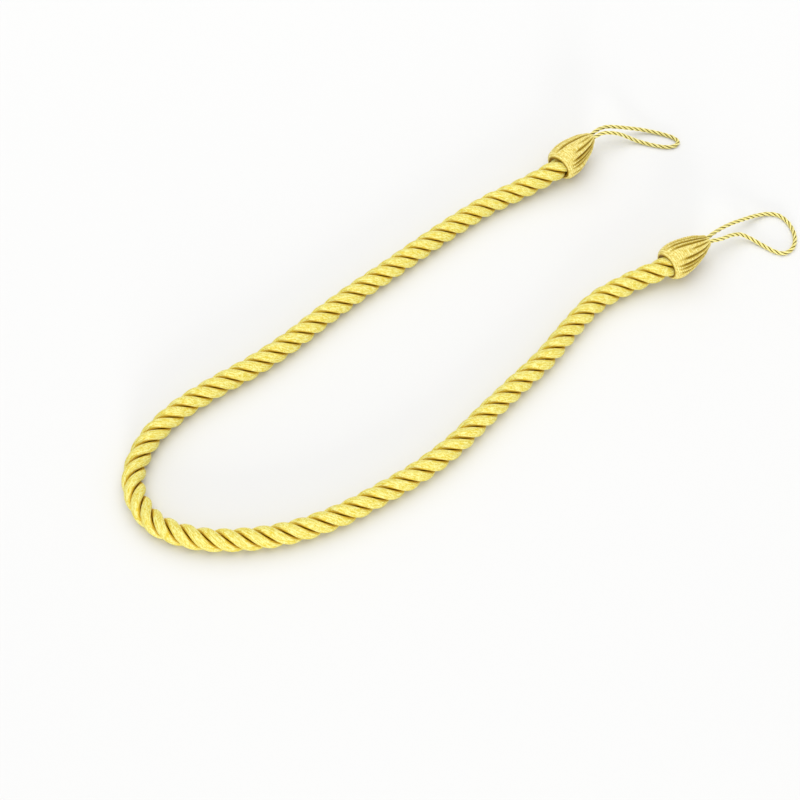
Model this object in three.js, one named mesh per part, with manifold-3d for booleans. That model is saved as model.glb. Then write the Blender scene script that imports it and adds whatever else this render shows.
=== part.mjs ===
// A rope curtain tieback lying in a U on a flat surface.
// A three-strand laid rope has a yarn-wound cap on each end, and a loop of thin laid cord
// comes out of each cap's tip to go on a wall hook.
// Millimetres, +Z up, resting on z = 0, with the origin under the middle of the whole.
import * as THREE from "three";
import { mergeVertices } from "three/addons/utils/BufferGeometryUtils.js";
import Module from "manifold-3d";

const wasm = await Module();
wasm.setup();

// Driving dimensions of the rope, its caps and its loops
const ROPE_DIAMETER = 12;
const ROPE_LAY = 29.8; // length of one full turn of a strand
const ROPE_START = THREE.MathUtils.degToRad(72); // turn of the strands at the rope's far end
const ROPE_STEPS_PER_TURN = 12;
const CORD_DIAMETER = 2.4;
const CORD_LAY = 12;
const CORD_STEPS_PER_TURN = 13;
const STRANDS = 3;
const CAP_LENGTH = 30;
const CAP_RADIUS = 10.7;
const CAP_BELLY = 8; // distance from the mouth to the widest place
const CAP_PITCH = THREE.MathUtils.degToRad(3); // the tip points up a little
const CAP_SEGMENTS = 48;
const FLUTE_DEPTH = 0.7;
const FLUTE_RISE = 9; // distance from the mouth at which the grooves have their full depth
const SOCKET_RADIUS = 7;
const SOCKET_DEPTH = 9;
const SOCKET_SAG = 0.7; // how far the rope lies under the socket's axis
const TIP_HOLE_RADIUS = 2.85;
const LEG_SPACING = 2.7; // between the middles of a loop's two legs in the tip's hole
const LEG_DEPTH = 7;
const CLEARANCE = 0.3;
const WELD = 1e-4; // points closer than this are one point
const LENGTH_SAMPLES = 40; // for each point of a route, when its length is measured

// Finishes of the three yarns
const ROPE_YARN = { color: 0xe6cf62, roughness: 0.45, metalness: 0 };
const CAP_YARN = { color: 0xd2b258, roughness: 0.5, metalness: 0 };
const CORD_YARN = { color: 0xddcc88, roughness: 0.5, metalness: 0 };

// How far its weight presses each piece flat where it lies on the surface
const ROPE_PRESS = 0.3;
const CAP_PRESS = 0.2;
const CORD_PRESS = 0.1;

// One strand's share of a cord's section: angle across the strand in degrees, share of the full radius
const ROPE_STRAND = [
  { angle: -60, share: 0.66 },
  { angle: -36, share: 0.93 },
  { angle: 0, share: 1 },
  { angle: 36, share: 0.93 },
];
const CORD_STRAND = [
  { angle: -60, share: 0.62 },
  { angle: 0, share: 1 },
];

// How the two cords are laid
const ROPE = {
  diameter: ROPE_DIAMETER,
  lay: ROPE_LAY,
  start: ROPE_START,
  strand: ROPE_STRAND,
  stepsPerTurn: ROPE_STEPS_PER_TURN,
};
const CORD = {
  diameter: CORD_DIAMETER,
  lay: CORD_LAY,
  start: 0,
  strand: CORD_STRAND,
  stepsPerTurn: CORD_STEPS_PER_TURN,
};

// The rope's route between the caps: x, y and the lift of its middle over its resting height
const ROPE_ROUTE = [
  [30.9, 97.8, 0.8],
  [9, 84.8, 0],
  [-11, 69, 0],
  [-30, 52.5, 0],
  [-49, 35.5, 0],
  [-68, 19, 0],
  [-86.5, 1.5, 0],
  [-104.5, -16.5, 0],
  [-124, -33, 0],
  [-144.5, -47.5, 0],
  [-164, -64, 0],
  [-178.5, -84.5, 0],
  [-183, -109.5, 0],
  [-171.5, -131.5, 0],
  [-149, -142, 0],
  [-123.5, -143, 0],
  [-98.5, -138.5, 0],
  [-75, -129, 0],
  [-53.5, -116, 0],
  [-32.5, -101.5, 0],
  [-13.5, -84.5, 0],
  [3, -65.5, 0],
  [20, -46.5, 0],
  [37, -27.5, 0],
  [52, -7, 0],
  [68, 12.3, 0],
  [88.5, 25.6, 0.8],
];

// Each cap's mouth and the way its axis points in plan, in degrees. Its uneven flutes are given by their
// widths in segments of the turning. The first starts at a turn from the underside, and all of them
// wind round the cap by the twist from mouth to tip, both in degrees.
const CAPS = {
  far: {
    x: 51.4,
    y: 110.6,
    heading: 48,
    start: 155,
    twist: 18,
    flutes: [6, 3, 2, 2, 3, 3, 3, 4, 3, 3, 4, 3, 3, 3, 3],
  },
  near: {
    x: 109.1,
    y: 34.8,
    heading: 35.6,
    start: 134,
    twist: 33,
    flutes: [2, 2, 7, 2, 2, 2, 3, 3, 3, 4, 3, 3, 4, 3, 3, 2],
  },
};

// The cap's outer outline from the mouth's lip to the tip: distance from the mouth, radius
const CAP_OUTLINE = [
  [1.4, SOCKET_RADIUS],
  [0.4, 7.3],
  [0, 7.9],
  [0.4, 8.7],
  [1.8, 9.7],
  [4.5, 10.45],
  [CAP_BELLY, CAP_RADIUS],
  [12, 10.25],
  [15, 9.6],
  [20, 8.25],
  [24, 6.8],
  [27.5, 4.9],
  [CAP_LENGTH, 3.6],
];

// Each loop's route from one leg round to the other: x, y and the lift over its resting height
const LOOP_ROUTES = {
  far: [
    [76.9, 140.5, 9.8],
    [81.8, 143.4, 9],
    [87.8, 144.9, 7.4],
    [96, 146.8, 4.4],
    [104.2, 148, 1.8],
    [112.1, 147.3, 0.4],
    [118.2, 145.6, 0],
    [123.3, 143.2, 0],
    [126.2, 139.7, 0],
    [124.2, 136.4, 0],
    [119.2, 135.3, 0],
    [111.6, 136.6, 0],
    [105.5, 138.5, 0.2],
    [100.6, 139.7, 1],
    [95.7, 140.5, 2.9],
    [91, 140.5, 5.4],
    [85.4, 139.3, 8],
    [79.5, 137.6, 9.6],
  ],
  near: [
    [140, 60.2, 9.5],
    [148.1, 66.7, 7.7],
    [159.2, 74.4, 4.1],
    [167, 79.3, 1.4],
    [174.1, 81.6, 0.2],
    [180.1, 80.5, 0],
    [184.5, 75.7, 0],
    [187.2, 68, 0],
    [187.3, 61.2, 0],
    [184.4, 54.6, 0],
    [179.6, 51.6, 0],
    [174.4, 53, 0],
    [167.8, 57.6, 0.2],
    [160.9, 61.7, 1.5],
    [155.3, 62.5, 3.9],
    [149.2, 59.6, 6.7],
    [142.5, 55, 8.9],
  ],
};

const UP = new THREE.Vector3(0, 0, 1);
const WHOLE_TURN = 2 * Math.PI;

// A cord's section, as one outline of STRANDS lobes with a groove between neighbours
function strandedSection(radius, strand) {
  const outline = [];
  for (let k = 0; k < STRANDS; k += 1) {
    for (const { angle, share } of strand) {
      const turn = (WHOLE_TURN * k) / STRANDS + THREE.MathUtils.degToRad(angle);
      outline.push(new THREE.Vector2(Math.cos(turn), Math.sin(turn)).multiplyScalar(radius * share));
    }
  }
  return new THREE.Shape(outline);
}

// Positions alone, with shared points merged, so that the surface is closed
function weld(geometry) {
  geometry.deleteAttribute("normal");
  geometry.deleteAttribute("uv");
  return mergeVertices(geometry, WELD);
}

// A laid cord: its section is extruded straight, then every ring is turned by the lay
// and moved to its place along the route. The lay is right-handed.
function laidCord(route, { diameter, lay, start, strand, stepsPerTurn }) {
  const curve = new THREE.CatmullRomCurve3(route, false, "centripetal");
  curve.arcLengthDivisions = LENGTH_SAMPLES * route.length;
  const length = curve.getLength();
  const steps = Math.round((length / lay) * stepsPerTurn);
  const section = strandedSection(diameter / 2, strand);
  const straight = new THREE.ExtrudeGeometry(section, { depth: length, steps, bevelEnabled: false });
  const cord = weld(straight);

  const rings = [];
  for (let k = 0; k <= steps; k += 1) {
    const middle = curve.getPointAt(k / steps);
    const along = curve.getTangentAt(k / steps);
    const left = new THREE.Vector3().crossVectors(UP, along).normalize();
    const over = new THREE.Vector3().crossVectors(along, left);
    const turn = start + (WHOLE_TURN * length * k) / (steps * lay);
    rings.push({ middle, left, over, turn });
  }
  const points = cord.attributes.position;
  for (let i = 0; i < points.count; i += 1) {
    const { middle, left, over, turn } = rings[Math.round((points.getZ(i) / length) * steps)];
    const inSection = new THREE.Vector2(points.getX(i), points.getY(i));
    inSection.rotateAround(new THREE.Vector2(), turn);
    const place = middle.clone().addScaledVector(left, inSection.x).addScaledVector(over, inSection.y);
    points.setXYZ(i, place.x, place.y, place.z);
  }
  return cord;
}

// The segments round the cap where one flute ends and the next begins
function grooveSegments(flutes) {
  const grooves = new Set();
  let segment = 0;
  for (const width of flutes) {
    grooves.add(segment);
    segment += width;
  }
  return grooves;
}

// A cap: a turned bud with a socket for the rope and a hole at its tip. Its axis is +Z
// with the mouth at 0. The grooves between its flutes are pressed into the turned surface, deeper
// away from the mouth, and the whole is then twisted round its axis.
function capGeometry({ start, twist, flutes }) {
  const profile = CAP_OUTLINE.map(([along, radius]) => new THREE.Vector2(radius, along));
  profile.push(new THREE.Vector2(TIP_HOLE_RADIUS, CAP_LENGTH));
  profile.push(new THREE.Vector2(TIP_HOLE_RADIUS, SOCKET_DEPTH));
  profile.push(new THREE.Vector2(SOCKET_RADIUS, SOCKET_DEPTH));
  profile.push(profile[0].clone());
  const turned = weld(new THREE.LatheGeometry(profile, CAP_SEGMENTS));
  turned.rotateX(Math.PI / 2);

  const grooves = grooveSegments(flutes);
  const middle = new THREE.Vector2();
  const points = turned.attributes.position;
  for (let i = 0; i < points.count; i += 1) {
    const inSection = new THREE.Vector2(points.getX(i), points.getY(i));
    const radius = inSection.length();
    const along = points.getZ(i);
    const segment = Math.round((inSection.angle() / WHOLE_TURN) * CAP_SEGMENTS) % CAP_SEGMENTS;
    const outside = radius > SOCKET_RADIUS + CLEARANCE || along > SOCKET_DEPTH;
    const inTipHole = radius < TIP_HOLE_RADIUS + CLEARANCE;
    if (grooves.has(segment) && outside && !inTipHole) {
      const depth = FLUTE_DEPTH * Math.min(1, along / FLUTE_RISE) * Math.min(1, radius / CAP_RADIUS);
      inSection.setLength(radius - depth);
    }
    inSection.rotateAround(middle, (THREE.MathUtils.degToRad(twist) * along) / CAP_LENGTH);
    points.setXYZ(i, inSection.x, inSection.y, along);
  }
  return turned.rotateZ(THREE.MathUtils.degToRad(start));
}

function toSolid(geometry) {
  const vertProperties = new Float32Array(geometry.attributes.position.array);
  const triVerts = new Uint32Array(geometry.index.array);
  return new wasm.Manifold(new wasm.Mesh({ numProp: 3, vertProperties, triVerts }));
}

function toGeometry(solid) {
  const { vertProperties, triVerts } = solid.getMesh();
  const geometry = new THREE.BufferGeometry();
  geometry.setAttribute("position", new THREE.BufferAttribute(vertProperties, 3));
  geometry.setIndex(new THREE.BufferAttribute(triVerts, 1));
  geometry.computeVertexNormals();
  return geometry;
}

// A piece presses flat where it lies: what would go under z = 0 is cut off it
function restOnSurface(mesh) {
  const reach = 500;
  const under = new THREE.BoxGeometry(reach, reach, reach);
  under.translate(0, 0, -reach / 2);
  mesh.updateMatrixWorld(true);
  under.applyMatrix4(mesh.matrixWorld.clone().invert());
  mesh.geometry = toGeometry(toSolid(mesh.geometry).subtract(toSolid(weld(under))));
  return mesh;
}

function piece(name, geometry, finish) {
  const mesh = new THREE.Mesh(geometry, new THREE.MeshStandardMaterial(finish));
  mesh.name = name;
  return mesh;
}

// The mouth's height that seats the cap's belly on the surface
const mouthHeight = CAP_RADIUS * Math.cos(CAP_PITCH) - CAP_PRESS - CAP_BELLY * Math.sin(CAP_PITCH);

// A cap's own frame: the middle of its mouth, its axis, and level across it
function capFrame({ x, y, heading }) {
  const plan = THREE.MathUtils.degToRad(heading);
  const level = new THREE.Vector3(Math.cos(plan), Math.sin(plan), 0);
  const axis = level.clone().multiplyScalar(Math.cos(CAP_PITCH)).addScaledVector(UP, Math.sin(CAP_PITCH));
  const across = new THREE.Vector3().crossVectors(UP, level);
  const mouth = new THREE.Vector3(x, y, mouthHeight);
  return { mouth, axis, across, at: (along) => mouth.clone().addScaledVector(axis, along) };
}

function cap(side) {
  const heading = THREE.MathUtils.degToRad(CAPS[side].heading);
  const mesh = piece(`cap_${side}`, capGeometry(CAPS[side]), CAP_YARN);
  mesh.position.copy(capFrame(CAPS[side]).mouth);
  mesh.rotation.set(0, Math.PI / 2 - CAP_PITCH, heading, "ZYX");
  return restOnSurface(mesh);
}

// The rope goes into the far cap's socket, along its route and into the near cap's socket
function rope() {
  const restHeight = ROPE_DIAMETER / 2 - ROPE_PRESS;
  const lying = ROPE_ROUTE.map(([x, y, lift]) => new THREE.Vector3(x, y, restHeight + lift));
  const far = capFrame(CAPS.far);
  const near = capFrame(CAPS.near);
  const inSocket = (frame, along) => frame.at(along).addScaledVector(UP, -SOCKET_SAG);
  const end = SOCKET_DEPTH - CLEARANCE;
  const route = [inSocket(far, end), inSocket(far, 0), ...lying, inSocket(near, 0), inSocket(near, end)];
  return restOnSurface(piece("rope", laidCord(route, ROPE), ROPE_YARN));
}

// A loop's two legs lie side by side in the tip's hole, and its bight lies on the surface
function loop(side) {
  const restHeight = CORD_DIAMETER / 2 - CORD_PRESS;
  const lying = LOOP_ROUTES[side].map(([x, y, lift]) => new THREE.Vector3(x, y, restHeight + lift));
  const { at, across } = capFrame(CAPS[side]);
  const leg = (along, hand) => at(CAP_LENGTH + along).addScaledVector(across, (hand * LEG_SPACING) / 2);
  const route = [leg(-LEG_DEPTH, 1), leg(0, 1), ...lying, leg(0, -1), leg(-LEG_DEPTH, -1)];
  return restOnSurface(piece(`loop_${side}`, laidCord(route, CORD), CORD_YARN));
}

const tieback = new THREE.Group();
tieback.add(rope());
for (const side of Object.keys(CAPS)) {
  tieback.add(cap(side), loop(side));
}

export default tieback;
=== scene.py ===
# %% [markdown]
# # A rope curtain tieback
#
# A tieback holds a drawn curtain to the wall. This one is a length of gold rope, laid from three strands.
# Each end sits in a small bud-shaped cap, wound with fine yarn and gathered into folds, and a loop of thin
# cord comes out of each cap's tip, to go on a hook. It lies in a U on a pale table.
#
# The solids come in first, as a fixed frame in metres with +Z up. Each piece made below takes the place of
# one solid, so it has to lie exactly where that solid lies.

# %% Load the frame
import math

import bpy
import numpy as np
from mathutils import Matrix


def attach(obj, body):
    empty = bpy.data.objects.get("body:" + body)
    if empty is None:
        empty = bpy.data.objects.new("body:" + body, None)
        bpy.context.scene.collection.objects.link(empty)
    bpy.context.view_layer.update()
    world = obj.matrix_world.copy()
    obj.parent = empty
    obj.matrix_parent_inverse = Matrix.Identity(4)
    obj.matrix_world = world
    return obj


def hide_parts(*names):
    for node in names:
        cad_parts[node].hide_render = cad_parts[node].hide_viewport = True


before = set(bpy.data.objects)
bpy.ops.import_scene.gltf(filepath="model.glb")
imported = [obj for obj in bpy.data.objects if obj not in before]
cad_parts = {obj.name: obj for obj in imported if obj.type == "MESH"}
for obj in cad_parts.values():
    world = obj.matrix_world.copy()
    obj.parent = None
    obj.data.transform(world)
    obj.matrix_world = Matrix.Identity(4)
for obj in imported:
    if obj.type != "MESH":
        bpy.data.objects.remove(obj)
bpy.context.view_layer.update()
print("solids:", ", ".join(sorted(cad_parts)))

# %% [markdown]
# ## The camera
#
# The tieback is seen from in front and well above, by a longish lens, so that its two arms keep nearly
# the same thickness. A camera could be aimed by a constraint, but two angles and a distance say it more
# plainly: it stands straight in front of a point on the table and looks down at it.

# %% Camera
MM = 0.001
AIM = np.array([-43.0, -51.5, 0.0]) * MM
VIEW_DISTANCE = 956.5 * MM
VIEW_ELEVATION = math.radians(55)
SENSOR_WIDTH = 36.0
FOCAL_LENGTH = 78.75

camera_data = bpy.data.cameras.new("camera")
camera_data.sensor_width = SENSOR_WIDTH
camera_data.lens = FOCAL_LENGTH
camera = bpy.data.objects.new("camera", camera_data)
bpy.context.scene.collection.objects.link(camera)
back = np.array([0.0, -math.cos(VIEW_ELEVATION), math.sin(VIEW_ELEVATION)])
camera.location = AIM + VIEW_DISTANCE * back
camera.rotation_euler = (math.pi / 2 - VIEW_ELEVATION, 0, 0)
bpy.context.scene.camera = camera
print("camera at", [round(x, 3) for x in camera.location])

# %% [markdown]
# ## Where the caps sit
#
# The rope starts and ends inside the caps, so their places come before its route. A cap lies on its belly
# with its tip a little up. Empties could carry these places, but the routes below need them as numbers. So
# a cap's own frame is worked out: the middle of its mouth, the axis from mouth to tip, and two directions
# across the axis, down towards the table and level to the left.

# %% Cap frames
CAP_LENGTH = 30 * MM
CAP_RADIUS = 10.7 * MM
CAP_BELLY = 8 * MM
CAP_PITCH = math.radians(3)
CAP_PRESS = 0.2 * MM
CAP_PLACES = {
    "far": {"mouth": (0.0514, 0.1106), "heading": math.radians(48)},
    "near": {"mouth": (0.1091, 0.0348), "heading": math.radians(35.6)},
}
UP = np.array([0.0, 0.0, 1.0])


def cap_frame(side):
    """The middle of a cap's mouth, its axis, and the directions down and left across it."""
    place = CAP_PLACES[side]
    height = CAP_RADIUS * math.cos(CAP_PITCH) - CAP_PRESS - CAP_BELLY * math.sin(CAP_PITCH)
    level = np.array([math.cos(place["heading"]), math.sin(place["heading"]), 0.0])
    axis = level * math.cos(CAP_PITCH) + UP * math.sin(CAP_PITCH)
    down = level * math.sin(CAP_PITCH) - UP * math.cos(CAP_PITCH)
    return np.array([*place["mouth"], height]), axis, down, np.cross(UP, level)


for side in CAP_PLACES:
    print(side, "cap's mouth at", np.round(cap_frame(side)[0], 4).tolist())

# %% [markdown]
# ## The route of the rope
#
# A rope is a fixed length of something flexible, and this one keeps the line in which it was laid down. A
# simulation could drop it on the table, but it would not come to lie in this very U. So its route is a short
# list of given points, each with the lift of the rope's middle over the height at which it rests.
# At both ends the rope sags a little in a cap's mouth, so it lies under the cap's axis there.

# %% Rope route
ROPE_DIAMETER = 12 * MM
ROPE_PRESS = 0.3 * MM
SOCKET_DEPTH = 9 * MM
SOCKET_SAG = 0.7 * MM
CLEARANCE = 0.3 * MM
ROPE_ROUTE = [
    (0.0309, 0.0978, 0.0008),
    (0.0090, 0.0848, 0.0),
    (-0.0110, 0.0690, 0.0),
    (-0.0300, 0.0525, 0.0),
    (-0.0490, 0.0355, 0.0),
    (-0.0680, 0.0190, 0.0),
    (-0.0865, 0.0015, 0.0),
    (-0.1045, -0.0165, 0.0),
    (-0.1240, -0.0330, 0.0),
    (-0.1445, -0.0475, 0.0),
    (-0.1640, -0.0640, 0.0),
    (-0.1785, -0.0845, 0.0),
    (-0.1830, -0.1095, 0.0),
    (-0.1715, -0.1315, 0.0),
    (-0.1490, -0.1420, 0.0),
    (-0.1235, -0.1430, 0.0),
    (-0.0985, -0.1385, 0.0),
    (-0.0750, -0.1290, 0.0),
    (-0.0535, -0.1160, 0.0),
    (-0.0325, -0.1015, 0.0),
    (-0.0135, -0.0845, 0.0),
    (0.0030, -0.0655, 0.0),
    (0.0200, -0.0465, 0.0),
    (0.0370, -0.0275, 0.0),
    (0.0520, -0.0070, 0.0),
    (0.0680, 0.0123, 0.0),
    (0.0885, 0.0256, 0.0008),
]


def in_socket(side, along):
    """A point of the rope's middle inside a cap's mouth, a little under the cap's axis."""
    mouth, axis, _, _ = cap_frame(side)
    return mouth + axis * along - UP * SOCKET_SAG


rope_rest = ROPE_DIAMETER / 2 - ROPE_PRESS
rope_points = [
    in_socket("far", SOCKET_DEPTH - CLEARANCE),
    in_socket("far", 0),
    *[np.array([x, y, rope_rest + lift]) for x, y, lift in ROPE_ROUTE],
    in_socket("near", 0),
    in_socket("near", SOCKET_DEPTH - CLEARANCE),
]
print("rope route:", len(rope_points), "points")

# %% [markdown]
# ## The routes of the loops
#
# A loop is one cord whose two legs go side by side into the hole at a cap's tip. It comes down from the tip
# and rests on the table, so the lifts fall to nothing and rise again. One bent ring could serve for both,
# but each loop lies in a shape of its own, the near one wide and the far one slim, so each has its own list.

# %% Loop routes
CORD_DIAMETER = 2.4 * MM
CORD_PRESS = 0.1 * MM
LEG_SPACING = 2.7 * MM
LEG_DEPTH = 7 * MM
LOOP_ROUTES = {
    "far": [
        (0.0769, 0.1405, 0.0098),
        (0.0818, 0.1434, 0.0090),
        (0.0878, 0.1449, 0.0074),
        (0.0960, 0.1468, 0.0044),
        (0.1042, 0.1480, 0.0018),
        (0.1121, 0.1473, 0.0004),
        (0.1182, 0.1456, 0.0),
        (0.1233, 0.1432, 0.0),
        (0.1262, 0.1397, 0.0),
        (0.1242, 0.1364, 0.0),
        (0.1192, 0.1353, 0.0),
        (0.1116, 0.1366, 0.0),
        (0.1055, 0.1385, 0.0002),
        (0.1006, 0.1397, 0.0010),
        (0.0957, 0.1405, 0.0029),
        (0.0910, 0.1405, 0.0054),
        (0.0854, 0.1393, 0.0080),
        (0.0795, 0.1376, 0.0096),
    ],
    "near": [
        (0.1400, 0.0602, 0.0095),
        (0.1481, 0.0667, 0.0077),
        (0.1592, 0.0744, 0.0041),
        (0.1670, 0.0793, 0.0014),
        (0.1741, 0.0816, 0.0002),
        (0.1801, 0.0805, 0.0),
        (0.1845, 0.0757, 0.0),
        (0.1872, 0.0680, 0.0),
        (0.1873, 0.0612, 0.0),
        (0.1844, 0.0546, 0.0),
        (0.1796, 0.0516, 0.0),
        (0.1744, 0.0530, 0.0),
        (0.1678, 0.0576, 0.0002),
        (0.1609, 0.0617, 0.0015),
        (0.1553, 0.0625, 0.0039),
        (0.1492, 0.0596, 0.0067),
        (0.1425, 0.0550, 0.0089),
    ],
}


def loop_leg(side, along, hand):
    """A point on one of a loop's two legs, side by side in the hole at the cap's tip."""
    mouth, axis, _, left = cap_frame(side)
    return mouth + axis * (CAP_LENGTH + along) + left * hand * LEG_SPACING / 2


cord_rest = CORD_DIAMETER / 2 - CORD_PRESS
loop_points = {}
for side, route in LOOP_ROUTES.items():
    lying = [np.array([x, y, cord_rest + lift]) for x, y, lift in route]
    first_leg = [loop_leg(side, -LEG_DEPTH, 1), loop_leg(side, 0, 1)]
    last_leg = [loop_leg(side, 0, -1), loop_leg(side, -LEG_DEPTH, -1)]
    loop_points[side] = [*first_leg, *lying, *last_leg]
    print(side, "loop route:", len(loop_points[side]), "points")

# %% [markdown]
# ## Smooth lines through the points
#
# Blender's own curve objects would do for a plain tube, but the strands need evenly spaced points with a
# direction at each, so the curve is worked out here. It is a centripetal Catmull-Rom curve: it goes through
# every point, and it doesn't overshoot where points are close together.

# %% Smooth lines
SPAN_SAMPLES = 60
ROPE_STEP = 1.0 * MM
CORD_STEP = 0.4 * MM


def distance_along(line):
    """How far each point of a line is from its start."""
    return np.concatenate([[0], np.cumsum(np.linalg.norm(np.diff(line, axis=0), axis=1))])


def smooth_line(points, spacing):
    """Evenly spaced points on a centripetal Catmull-Rom curve through the given ones."""
    given = np.asarray(points, float)
    given = np.vstack([2 * given[0] - given[1], given, 2 * given[-1] - given[-2]])
    t = np.linspace(0, 1, SPAN_SAMPLES, endpoint=False)[:, None]
    spans = []
    for a, b, c, d in zip(given, given[1:], given[2:], given[3:]):
        ab, bc, cd = (math.sqrt(np.linalg.norm(step)) for step in (b - a, c - b, d - c))
        leave = bc * ((b - a) / ab - (c - a) / (ab + bc) + (c - b) / bc)
        arrive = bc * ((c - b) / bc - (d - b) / (bc + cd) + (d - c) / cd)
        from_b = b * (2 * t**3 - 3 * t**2 + 1) + leave * (t**3 - 2 * t**2 + t)
        spans.append(from_b + c * (3 * t**2 - 2 * t**3) + arrive * (t**3 - t**2))
    fine = np.vstack([*spans, given[-2]])
    run = distance_along(fine)
    even = np.linspace(0, run[-1], round(run[-1] / spacing) + 1)
    return np.stack([np.interp(even, run, values) for values in fine.T], axis=1)


rope_line = smooth_line(rope_points, ROPE_STEP)
loop_lines = {side: smooth_line(points, CORD_STEP) for side, points in loop_points.items()}
print("rope length", round(distance_along(rope_line)[-1], 4), "m")
for side, line in loop_lines.items():
    print(side, "loop length", round(distance_along(line)[-1], 4), "m")

# %% [markdown]
# ## Meshes from rings
#
# Every piece here is a surface swept along something: a strand along the rope, a cap round its axis. Such
# a surface is a grid of rings, and a grid is quickest to make as one array of points. A modifier stack of
# screws and arrays could twist a plain profile, but an array gives each point its own place, so that a
# strand can be pressed flat on the table.
#
# Each corner of a face also gets a place on the yarn, across and along, as a UV map, and each point gets a
# mark of how deep it lies. The finishes read both, and paint shade where the mark is deep.

# %% Grid mesh
RING_CORNERS = np.array([0, 0, 1, 1])
COLUMN_CORNERS = np.array([0, 1, 1, 0])


def grid_piece(name, grids, places, depths, closed=False):
    """One mesh object from grids of points, with their places on the yarn and their depth.

    Each ring of a grid closes on itself. A closed grid's last ring also meets its first, and any other grid
    gets a flat face at each end.
    """
    points, faces, corner_places, first = [], [], [], 0
    for grid, place in zip(grids, places):
        rings, columns = grid.shape[:2]
        ring, column = np.indices((rings if closed else rings - 1, columns)).reshape(2, -1, 1)
        ring, column = ring + RING_CORNERS, column + COLUMN_CORNERS
        faces.extend((first + ring % rings * columns + column % columns).tolist())
        corner_places.append(place[ring, column].reshape(-1, 2))
        if not closed:
            faces.append(list(range(first + columns - 1, first - 1, -1)))
            faces.append(list(range(first + (rings - 1) * columns, first + rings * columns)))
            corner_places.append(np.zeros((2 * columns, 2)))
        points.append(grid.reshape(-1, 3))
        first += rings * columns
    mesh = bpy.data.meshes.new(name)
    mesh.from_pydata(np.vstack(points).tolist(), [], faces)
    mesh.shade_smooth()
    mesh.uv_layers.new(name="yarn").uv.foreach_set("vector", np.vstack(corner_places).ravel())
    mesh.attributes.new("depth", "FLOAT", "POINT").data.foreach_set("value", np.vstack(depths).ravel())
    piece = bpy.data.objects.new(name, mesh)
    bpy.context.scene.collection.objects.link(piece)
    print(name, "has", sum(len(face) - 2 for face in faces), "triangles")
    return piece


print("a face of a grid has", len(RING_CORNERS), "corners")

# %% [markdown]
# ## The shape of a strand
#
# A rope walk twists yarns into strands and winds three strands round each other. Round strands would leave
# wide valleys between them. Real ones press on each other, so each takes nearly a third of the round: broad
# outside, with steep walls and a narrow dark groove between neighbours. A circle as the bevel of a curve
# would be quicker, but this shape is an oval bent round the rope's middle, so its points are worked out.
#
# The oval's height is a share of the rope's radius, and its width is an angle. A fullness of 2 is a true
# oval, and more is squarer. The inner walls never show, so few of the columns go there.

# %% Strand outline
STRANDS = 3
OVAL_SAMPLES = 600
HIDDEN_SHARE = 0.2
ROPE_STRAND = {
    "half_high": 0.47,
    "half_angle": math.radians(54.5),
    "fullness": 2.05,
    "hidden_below": 0.5,
    "columns": 44,
    "yarn": 0.82 * MM,
    "slant": 0.3,
}


def strand_outline(shape):
    """Points round a strand, for a cord of radius 1: distance from its middle, angle, and run so far."""
    turn = np.linspace(-math.pi, math.pi, OVAL_SAMPLES)
    out, side, corner = np.cos(turn), np.sin(turn), shape["fullness"]
    full = (abs(out) ** corner + abs(side) ** corner) ** (-1 / corner)
    away = 1 - shape["half_high"] + shape["half_high"] * full * out
    angle = shape["half_angle"] * full * side
    run = distance_along(np.stack([away * np.cos(angle), away * np.sin(angle)], axis=1))
    share = np.where(away[1:] > shape["hidden_below"], 1.0, HIDDEN_SHARE)
    spread = np.concatenate([[0], np.cumsum(np.diff(run) * share)])
    even = np.linspace(0, spread[-1], shape["columns"] + 1)
    return [np.interp(even, spread, values) for values in (away, angle, run)]


strand_run = strand_outline(ROPE_STRAND)[-1]
print("a rope strand is", round(strand_run[-1] * ROPE_DIAMETER / 2 / MM, 1), "mm round")

# %% [markdown]
# ## Winding strands along a line
#
# Each strand is the same oval, carried along the rope's line and wound right-handed, one turn for each lay.
# A screw modifier could wind it on a straight axis and a curve modifier could bend the result, but then the
# rope would not flatten where it lies. Here each point that would sink into the table is lifted to it.
#
# The yarns run nearly along a strand, with a small slant towards the rope's own line. They are counted
# across the strand with that slant taken in, so that a finish can draw them one by one.

# %% Laid cord
def frames_along(line):
    """Directions to the left and over the top, square to a line at each of its points."""
    ahead = np.gradient(line, axis=0)
    ahead /= np.linalg.norm(ahead, axis=1, keepdims=True)
    left = np.cross(UP, ahead)
    left /= np.linalg.norm(left, axis=1, keepdims=True)
    return left, np.cross(ahead, left)


def laid_cord(name, line, radius, lay, start, shape):
    """A cord of three strands wound right-handed along a line, with yarns that run nearly along them."""
    along = distance_along(line)
    left, over = frames_along(line)
    away, angle, run = strand_outline(shape)
    wind = math.tau * along[:, None] / lay
    yarns = round(run[-1] * radius / shape["yarn"])
    across = yarns * (run + shape["slant"] * wind) / run[-1]
    grids, places = [], []
    for strand in range(STRANDS):
        turn = start + wind + angle[:-1] + math.tau * strand / STRANDS
        spoke = radius * away[:-1]
        level, upright = spoke * np.cos(turn), spoke * np.sin(turn)
        grid = line[:, None] + left[:, None] * level[..., None] + over[:, None] * upright[..., None]
        grid[..., 2] = np.maximum(grid[..., 2], 0)
        grids.append(grid)
        places.append(np.stack(np.broadcast_arrays(across + strand * yarns, along[:, None]), axis=-1))
    depths = [np.tile(1 - away[:-1], (len(line), 1))] * STRANDS
    return grid_piece(name, grids, places, depths)


rope_over = frames_along(rope_line)[1]
print("the rope climbs", round(math.degrees(math.acos(rope_over[:, 2].min())), 1), "degrees at most")
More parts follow.
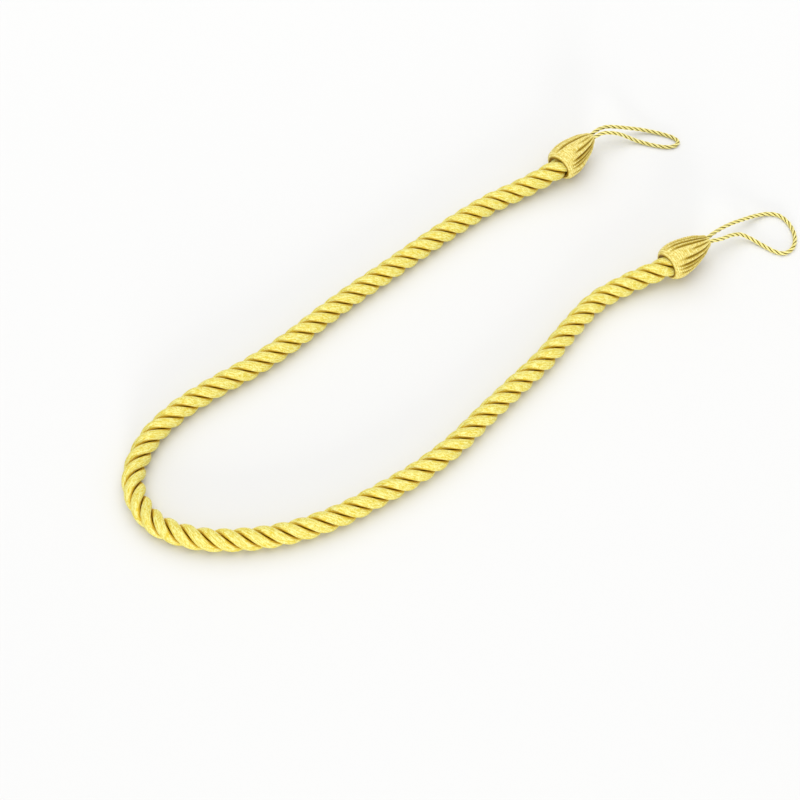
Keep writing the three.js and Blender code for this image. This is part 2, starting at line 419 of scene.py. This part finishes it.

# %% [markdown]
# ## The rope
#
# A bump on a plain tube could suggest the strands, but their grooves are deep enough to cut the outline and
# hold shadows, so they are geometry. Loose filaments stand out from real rope, so this one is wound a fifth
# of a millimetre fuller than its solid.

# %% Rope
ROPE_LAY = 29.8 * MM
ROPE_START = math.radians(72)
ROPE_FUZZ = 0.2 * MM

rope_radius = ROPE_DIAMETER / 2 + ROPE_FUZZ
rope = laid_cord("laid_rope", rope_line, rope_radius, ROPE_LAY, ROPE_START, ROPE_STRAND)
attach(rope, "root")
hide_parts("rope")

# %% [markdown]
# ## The loops
#
# A loop is a thin cord of three plies, laid as the rope is, with a longer lay for its thickness. A striped
# texture on a tube would look much the same from here, but close up the plies are round, so the same
# function winds them. They are small, so a narrower oval with half as many columns will do.

# %% Loops
CORD_LAY = 12 * MM
CORD_STRAND = {
    "half_high": 0.47,
    "half_angle": math.radians(51),
    "fullness": 2.0,
    "hidden_below": 0.45,
    "columns": 22,
    "yarn": 0.4 * MM,
    "slant": 0.3,
}

loops = {}
for side, line in loop_lines.items():
    loop = laid_cord(f"cord_loop_{side}", line, CORD_DIAMETER / 2, CORD_LAY, 0, CORD_STRAND)
    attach(loop, "root")
    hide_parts(f"loop_{side}")
    loops[side] = loop

# %% [markdown]
# ## The outline of a cap
#
# A cap has the shape of a bud, round at the mouth and drawn in at the tip. Its lip closes on the rope, and
# the hole at its tip holds the loop's legs. A lathe, or a screw modifier, would turn the outline, but the
# cover has folds, so its radius changes round the axis. The cap is therefore a grid too: one ring for each
# point of its outline, from inside the mouth over the rim to the tip, and back through the inside.
#
# Each point of the outline is a distance along the axis and a distance from it, in millimetres.

# %% Cap outline
LIP_RADIUS = 5.8 * MM
RIM_RADIUS = 8.5 * MM
TIP_HOLE_RADIUS = 2.85 * MM
CAP_OUTLINE = [
    (3.0, 5.8),
    (1.6, 5.8),
    (0.5, 6.2),
    (0.0, 7.5),
    (0.4, 8.6),
    (1.8, 9.7),
    (4.5, 10.45),
    (8.0, 10.7),
    (12.0, 10.25),
    (15.0, 9.6),
    (20.0, 8.25),
    (24.0, 6.8),
    (27.5, 4.9),
    (29.7, 3.8),
    (30.2, 3.2),
    (29.6, 2.85),
    (28.0, 2.85),
]
OUTLINE_STEP = 0.23 * MM

outside = smooth_line(np.array(CAP_OUTLINE) * MM, OUTLINE_STEP)
inside = np.array([(SOCKET_DEPTH, TIP_HOLE_RADIUS), (SOCKET_DEPTH, LIP_RADIUS)])
outline = np.vstack([outside, inside])
print("cap outline:", len(outline), "rings")

# %% [markdown]
# ## The folds of a cap
#
# The yarn cover is gathered towards the tip, so it lies in folds: soft crowns with a groove between each two.
# A noise texture could crease it, but real folds are few and each has its place. So each groove that shows
# has three numbers: its turn at the mouth, in degrees from the underside round by the left, how far from the
# mouth it starts, in millimetres, and how sharp it is. The hidden grooves only have a turn, and share the
# rest. All grooves wind on round the cap towards the tip, by the same twist in degrees.

# %% Folds
FOLDS = {
    "far": {
        "twist": 18,
        "shown": [
            (157, 0, 1.0),
            (184, 13, 0.5),
            (205, 6, 0.8),
            (226, 2, 1.0),
            (238, 0, 0.85),
            (250, 0, 0.85),
            (275, 0, 0.9),
        ],
        "hidden": [297.5, 320, 350, 12.5, 35, 65, 87.5, 110, 132.5],
    },
    "near": {
        "twist": 33,
        "shown": [
            (134, 2, 0.9),
            (151, 1, 1.0),
            (167, 1, 0.8),
            (189, 11, 0.7),
            (214, 3, 0.9),
            (233, 0, 0.95),
            (245, 0, 0.85),
            (261.5, 0, 0.9),
        ],
        "hidden": [284, 306.5, 329, 359, 21.5, 44, 74, 96.5, 119],
    },
}
HIDDEN_GROOVE = (2, 0.9)
grooves = {}
for side, folds in FOLDS.items():
    grooves[side] = sorted(folds["shown"] + [(turn, *HIDDEN_GROOVE) for turn in folds["hidden"]])
    print(side, "cap has", len(grooves[side]), "folds")

# %% [markdown]
# ## From folds to depths
#
# For each point of the cap's grid, the nearest groove is found, along its winding line. Close to that line
# the cover dips sharply, and a fold also falls away from its crown in a soft arc. Sculpting would give the
# same relief, but these two curves can be changed by a number. Both fade in over a few millimetres from the
# place where the groove starts.

# %% Fold profile
FULL_CIRCLE = 360
FOLD_RISE = 7 * MM
GROOVE_WIDTH = 0.85 * MM
GROOVE_CURVE = 1.5
CAP_COLUMNS = 288


def fold_profile(side, along):
    """For each ring and column of a cap: the turn, how deep in a groove, how far off a crown, the rise."""
    turns, starts, sharpness = np.array(grooves[side]).T
    edges = np.append(turns, turns[0] + FULL_CIRCLE)
    turn = np.linspace(0, FULL_CIRCLE, CAP_COLUMNS + 1)
    wound = (turn - FOLDS[side]["twist"] * along / CAP_LENGTH - turns[0]) % FULL_CIRCLE + turns[0]
    fold = np.clip(np.searchsorted(edges, wound, side="right") - 1, 0, len(turns) - 1)
    before, after = wound - edges[fold], edges[fold + 1] - wound
    groove = np.where(before < after, fold, fold + 1) % len(turns)
    rise = sharpness[groove] * np.clip((along - starts[groove] * MM) / FOLD_RISE, 0, 1)
    from_groove = np.minimum(before, after)
    deep = rise * np.exp(-((np.radians(from_groove) * CAP_RADIUS / GROOVE_WIDTH) ** GROOVE_CURVE))
    off_crown = rise * (1 - 2 * from_groove / (before + after)) ** 2
    return np.radians(turn), deep, off_crown, rise


for side in FOLDS:
    deep_in_groove = fold_profile(side, outside[:, :1])[1]
    print(side, "cap's sharpest groove:", deep_in_groove.max().round(2), "of the full depth")

# %% [markdown]
# ## The wound caps
#
# The yarn lies in fine rows across the cap, like thread on a bobbin, and is pulled flatter on the folds. A
# bump could draw the rows, but they are ridges that catch the light, so they are taken off the radius with
# the folds: what is left is the outline less the grooves, less the arcs, less the dips between rows. All
# of it fades out at the tip's hole. The lip sags with the rope, and where it meets the rope it is marked
# as deep, so that the finish paints shade on it there.

# %% Caps
FOLD_DEPTH = 0.8 * MM
FOLD_CROWN = 1.0 * MM
WRAP_PITCH = 1.3 * MM
WRAP_HEIGHT = 0.22 * MM
WRAP_FADE = 0.5
# Painted shade on the lip where it meets the rope, as a range of how far the lip has closed in.
LIP_PAINTED_SHADE = (0.15, 0.5)


def cap_grid(side):
    """A cap's points, ring by ring, their places on the yarn, and how deep in a groove they lie, with painted
    shade on the lip.
    """
    mouth, axis, down, left = cap_frame(side)
    along, radius = outline[:, :1], outline[:, 1:]
    turn, deep, off_crown, rise = fold_profile(side, along)
    outer = np.clip((radius - TIP_HOLE_RADIUS) / (LIP_RADIUS - TIP_HOLE_RADIUS), 0, 1)
    outer[len(outside) :] = 0
    lip = np.clip((RIM_RADIUS - radius) / (RIM_RADIUS - LIP_RADIUS), 0, 1) * (along <= SOCKET_DEPTH)
    wraps = distance_along(np.vstack([outline, outline[:1]]))[:, None] / WRAP_PITCH
    wrap = 0.5 - 0.5 * np.cos(math.tau * wraps[:-1])
    ridges = WRAP_HEIGHT * wrap * (1 - WRAP_FADE * rise) * (1 - deep)
    shaped = radius - outer * (FOLD_DEPTH * deep + FOLD_CROWN * off_crown + ridges)
    spoke = down * np.cos(turn[:, None]) + left * np.sin(turn[:, None])
    middle = mouth + axis * along + down * SOCKET_SAG * lip
    grid = (middle[:, None] + shaped[..., None] * spoke)[:, :-1]
    grid[..., 2] = np.maximum(grid[..., 2], 0)
    # Painted shade: where the lip closes on the rope it is marked as deep, so the finish darkens it.
    lip_painted_shade = np.clip((lip - LIP_PAINTED_SHADE[0]) / (LIP_PAINTED_SHADE[1] - LIP_PAINTED_SHADE[0]), 0, 1)
    depth = np.maximum(outer * deep, lip_painted_shade)[:, :-1]
    place = np.stack(np.broadcast_arrays(wraps, turn * CAP_RADIUS), axis=-1)
    return grid, place, depth


caps = {}
for side in CAP_PLACES:
    grid, place, depth = cap_grid(side)
    cap = grid_piece(f"wound_cap_{side}", [grid], [place], [depth], closed=True)
    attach(cap, "root")
    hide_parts(f"cap_{side}")
    caps[side] = cap

# %% [markdown]
# ## Writing a finish
#
# A finish is a graph of shader nodes, and most of it is arithmetic. Placing each Math node by hand hides
# the formula, so a small class wraps a socket: adding or multiplying wrapped sockets adds the Math nodes.
# Every other node comes from one method that takes its type, its settings and what goes into its sockets.

# %% Wires and finishes
MIX_COLOURS = (6, 7)
MIX_RESULT = 2


class Wire:
    """A shader socket that takes part in Python sums."""

    def __init__(self, finish, socket):
        self.finish, self.socket = finish, socket

    def math(self, operation, first, second):
        return self.finish.node("ShaderNodeMath", {"operation": operation}, {0: first, 1: second})

    def __add__(self, other):
        return self.math("ADD", self, other)

    __radd__ = __add__

    def __mul__(self, other):
        return self.math("MULTIPLY", self, other)

    __rmul__ = __mul__

    def __sub__(self, other):
        return self.math("SUBTRACT", self, other)

    def __rsub__(self, other):
        return self.math("SUBTRACT", other, self)


class Finish:
    """A material whose nodes all come from one method."""

    def __init__(self, name):
        self.material = bpy.data.materials.new(name)
        self.material.use_nodes = True
        self.tree = self.material.node_tree
        self.tree.nodes.clear()

    def node(self, kind, settings, sockets, out=0):
        """A node of any kind: its settings first, then the values or links of its sockets."""
        node = self.tree.nodes.new(kind)
        for setting, value in settings.items():
            setattr(node, setting, value)
        for socket, value in sockets.items():
            if isinstance(value, Wire):
                self.tree.links.new(value.socket, node.inputs[socket])
            else:
                node.inputs[socket].default_value = value
        return Wire(self, node.outputs[out]) if node.outputs else None

    def mix(self, factor, first, second):
        """A colour between two, by a factor."""
        sockets = {"Factor": factor, MIX_COLOURS[0]: first, MIX_COLOURS[1]: second}
        return self.node("ShaderNodeMix", {"data_type": "RGBA"}, sockets, MIX_RESULT)

    def between(self, value, low, high):
        """0 where a value is under low, 1 where it is over high, and smooth between."""
        sockets = {"Value": value, "From Min": low, "From Max": high}
        return self.node("ShaderNodeMapRange", {"interpolation_type": "SMOOTHSTEP"}, sockets)

    def show(self, shader):
        """The finished material, with a shader on its surface."""
        self.node("ShaderNodeOutputMaterial", {}, {"Surface": shader})
        return self.material


print("ready to mix finishes")

# %% [markdown]
# ## The yarns
#
# All the pieces are bright satin yarn. Filaments lie side by side along each yarn, so its colour changes in
# flecks, long ones along a filament and short ones where the yarn has a slub, which is a thicker place.
# Between two yarns is a fine crevice, and its colour is darkened there as painted shade. Deep between the
# strands, light only comes back after many bounces off yellow yarn, and it comes back brown. So the mark that
# says how deep each point lies darkens the colour with painted shade in two steps, on a strand's flank and
# then at the bottom of the groove, and the lamps do the rest. This painted shade stays put when the light
# moves.
#
# A hair system could grow the filaments, but the yarns are finer than a pixel, so a finish is enough.

# %% Yarn grain
FLECK_FINENESS = 0.9
SLUB_FINENESS = 1.0
FILAMENT_STRETCH = 3
SLUB_SHORTENING = 4
FLECK_SHARE = 0.4
FILAMENT_SHARE = 0.25
SLUB_SHARE = 0.35
NOISE = {"Scale": 1.0, "Detail": 1.0}


def yarn_grain(finish, across, along, look):
    """How bright the flecks of a yarn are, from 0 to 1, and the filaments alone."""

    def grain(finer, longer):
        spot = finish.node("ShaderNodeCombineXYZ", {}, {"X": across * finer, "Y": along * longer})
        return finish.node("ShaderNodeTexNoise", {}, {"Vector": spot, **NOISE}, "Fac")

    filament = grain(look["filaments"], look["streaks"] / FILAMENT_STRETCH)
    slub = grain(SLUB_FINENESS, look["streaks"] * SLUB_SHORTENING)
    fleck = grain(FLECK_FINENESS, look["streaks"])
    flecks = fleck * FLECK_SHARE + filament * FILAMENT_SHARE + slub * SLUB_SHARE
    return finish.between(flecks, *look["grain"]), filament


print("shares of the grain add up to", FLECK_SHARE + FILAMENT_SHARE + SLUB_SHARE)

# %% Yarn finish
CREVICE = (-1.0, -0.2)
YARN_RELIEF = 0.5
FILAMENT_RELIEF = 0.6
RELIEF_STRENGTH = 0.8
DULL_ROUGHNESS = 0.5
SATIN = 0.15
SHINE = 0.2


def yarn_finish(name, look):
    """A satin yarn: flecks along it, and painted shade in the crevices beside it and deep between the
    strands.
    """
    finish = Finish(name)
    place = finish.node("ShaderNodeUVMap", {"uv_map": "yarn"}, {})
    across, along = (finish.node("ShaderNodeSeparateXYZ", {}, {"Vector": place}, axis) for axis in "XY")
    depth = finish.node("ShaderNodeAttribute", {"attribute_name": "depth"}, {}, "Fac")
    bright, filament = yarn_grain(finish, across, along, look)
    crest = finish.node("ShaderNodeMath", {"operation": "COSINE"}, {0: across * math.tau})
    # Painted shade: the crevices between yarns are darkened in the colour.
    crevice = 1 - finish.between(crest, *CREVICE)
    flank = finish.between(depth, *look["flank_depth"])
    colour = finish.mix(bright, look["shade"], look["light"])
    # Painted shade: crevices, then by the depth mark a strand's flank and the bottom of its groove, are
    # darkened.
    colour = finish.mix(look["gap"] * crevice, colour, look["flank"])
    colour = finish.mix(flank, colour, look["flank"])
    colour = finish.mix(look["line"] * flank * crevice, colour, look["deep"])
    colour = finish.mix(finish.between(depth, *look["deep_depth"]), colour, look["deep"])
    relief = crest * YARN_RELIEF + filament * FILAMENT_RELIEF
    bump = {"Strength": RELIEF_STRENGTH, "Distance": look["bump"], "Height": relief}
    shading = {
        "Base Color": colour,
        "Roughness": DULL_ROUGHNESS - SATIN * bright,
        "Normal": finish.node("ShaderNodeBump", {}, bump),
        "Specular IOR Level": SHINE,
    }
    return finish.show(finish.node("ShaderNodeBsdfPrincipled", {}, shading))


print("roughness from", DULL_ROUGHNESS - SATIN, "to", DULL_ROUGHNESS)

# %% [markdown]
# ## The rope's finish
#
# The rope is a clear, light gold. Its look is a list of values: the light and shade of the flecks and the
# range of noise between them, how far painted shade darkens the crevices on a crown (gap) and on a flank
# (line), the painted shade colours of flank and groove with the depths where each sets in, the filaments in
# a yarn, the streaks in a metre, and the height of the relief in metres. One ramp could hold all the
# colours, but named values are easier to change one at a time.

# %% Rope finish
ROPE_LOOK = {
    "light": (1.0, 0.99, 0.40, 1),
    "shade": (0.83, 0.66, 0.05, 1),
    "grain": (0.41, 0.59),
    # gap, line, flank and deep paint shade into the crevices between yarns and the grooves between strands.
    "gap": 0.4,
    "line": 0.8,
    "flank": (0.82, 0.57, 0.04, 1),
    "flank_depth": (0.16, 0.29),
    "deep": (0.44, 0.17, 0.0, 1),
    "deep_depth": (0.37, 0.47),
    "filaments": 4.0,
    "streaks": 400.0,
    "bump": 0.0003,
}
rope.data.materials.append(yarn_finish("rope_yarn", ROPE_LOOK))
print("rope finish has", len(rope.data.materials[0].node_tree.nodes), "nodes")

# %% [markdown]
# ## The finishes of the caps and the loops
#
# The caps' yarn is an older, browner gold, and its flecks run across the cap, along the rows of yarn. The
# loops are a paler gold, with painted shade that makes their grooves nearly black, because a cord this thin
# shows little but its crowns and its gaps. The same function makes both, since only the values differ.

# %% Cap and loop finishes
CAP_LOOK = {
    "light": (0.97, 0.89, 0.36, 1),
    "shade": (0.68, 0.52, 0.09, 1),
    "grain": (0.39, 0.61),
    # gap, line, flank and deep paint shade into the rows' crevices, the folds' sides and grooves, and the
    # lip.
    "gap": 0.45,
    "line": 0.5,
    "flank": (0.50, 0.35, 0.03, 1),
    "flank_depth": (0.02, 0.6),
    "deep": (0.28, 0.15, 0.005, 1),
    "deep_depth": (0.5, 1.0),
    "filaments": 3.0,
    "streaks": 600.0,
    "bump": 0.0002,
}
LOOP_LOOK = {
    "light": (1.0, 0.95, 0.42, 1),
    "shade": (0.90, 0.77, 0.21, 1),
    "grain": (0.38, 0.62),
    # gap, line, flank and deep paint shade into the crevices and grooves, nearly black at the bottom.
    "gap": 0.25,
    "line": 0.25,
    "flank": (0.43, 0.30, 0.03, 1),
    "flank_depth": (0.10, 0.26),
    "deep": (0.07, 0.04, 0.004, 1),
    "deep_depth": (0.24, 0.40),
    "filaments": 3.0,
    "streaks": 300.0,
    "bump": 0.0001,
}
cap_finish = yarn_finish("cap_yarn", CAP_LOOK)
loop_finish = yarn_finish("loop_cord", LOOP_LOOK)
for side in CAP_PLACES:
    caps[side].data.materials.append(cap_finish)
    loops[side].data.materials.append(loop_finish)
print("finishes:", [material.name for material in bpy.data.materials])

# %% [markdown]
# ## The table
#
# The tieback lies on a pale, even surface with no edge in sight. A curved studio backdrop would do as well,
# but the camera looks down, so a wide plane fills the frame. It is only a stage, and not part of the object.

# %% Table
TABLE_SIZE = 6.0
TABLE_COLOUR = (0.79, 0.79, 0.785, 1)
TABLE_ROUGHNESS = 0.9
TABLE_SHINE = 0.1

bpy.ops.mesh.primitive_plane_add(size=TABLE_SIZE)
table = bpy.context.object
table.name = "table"
table_finish = Finish("pale_table")
table_shading = {
    "Base Color": TABLE_COLOUR,
    "Roughness": TABLE_ROUGHNESS,
    "Specular IOR Level": TABLE_SHINE,
}
table_shader = table_finish.node("ShaderNodeBsdfPrincipled", {}, table_shading)
table.data.materials.append(table_finish.show(table_shader))
print("table", TABLE_SIZE, "m wide")

# %% [markdown]
# ## The light
#
# The light is soft and comes from nearly all round, so the shadows are weak and close to the rope. A sky
# texture would tint it, so the room is a plain white. A wide lamp above and behind brightens the tops and
# lets a soft shadow fall in front, and a small lamp low in front fills the sides that face the camera.

# %% Light
LAMPS = {
    "overhead": {"place": (-0.05, 1.10, 2.70), "size": 4.0, "watts": 65.0},
    "front": {"place": (-0.05, -2.40, 0.34), "size": 0.6, "watts": 27.0},
}
ROOM_COLOUR = (1, 1, 1, 1)
ROOM_LIGHT = 0.735

lamp_aim = bpy.data.objects.new("lamp_aim", None)
bpy.context.scene.collection.objects.link(lamp_aim)
for name, setting in LAMPS.items():
    lamp_data = bpy.data.lights.new(name, "AREA")
    lamp_data.size = setting["size"]
    lamp_data.energy = setting["watts"]
    lamp = bpy.data.objects.new(name, lamp_data)
    bpy.context.scene.collection.objects.link(lamp)
    lamp.location = setting["place"]
    follow = lamp.constraints.new("TRACK_TO")
    follow.target = lamp_aim
    follow.track_axis = "TRACK_NEGATIVE_Z"
    follow.up_axis = "UP_Y"

room = bpy.data.worlds.new("room")
room.use_nodes = True
backdrop = room.node_tree.nodes["Background"]
backdrop.inputs["Color"].default_value = ROOM_COLOUR
backdrop.inputs["Strength"].default_value = ROOM_LIGHT
bpy.context.scene.world = room
bpy.context.scene.view_settings.view_transform = "Standard"
print(len(LAMPS), "lamps and an even room")
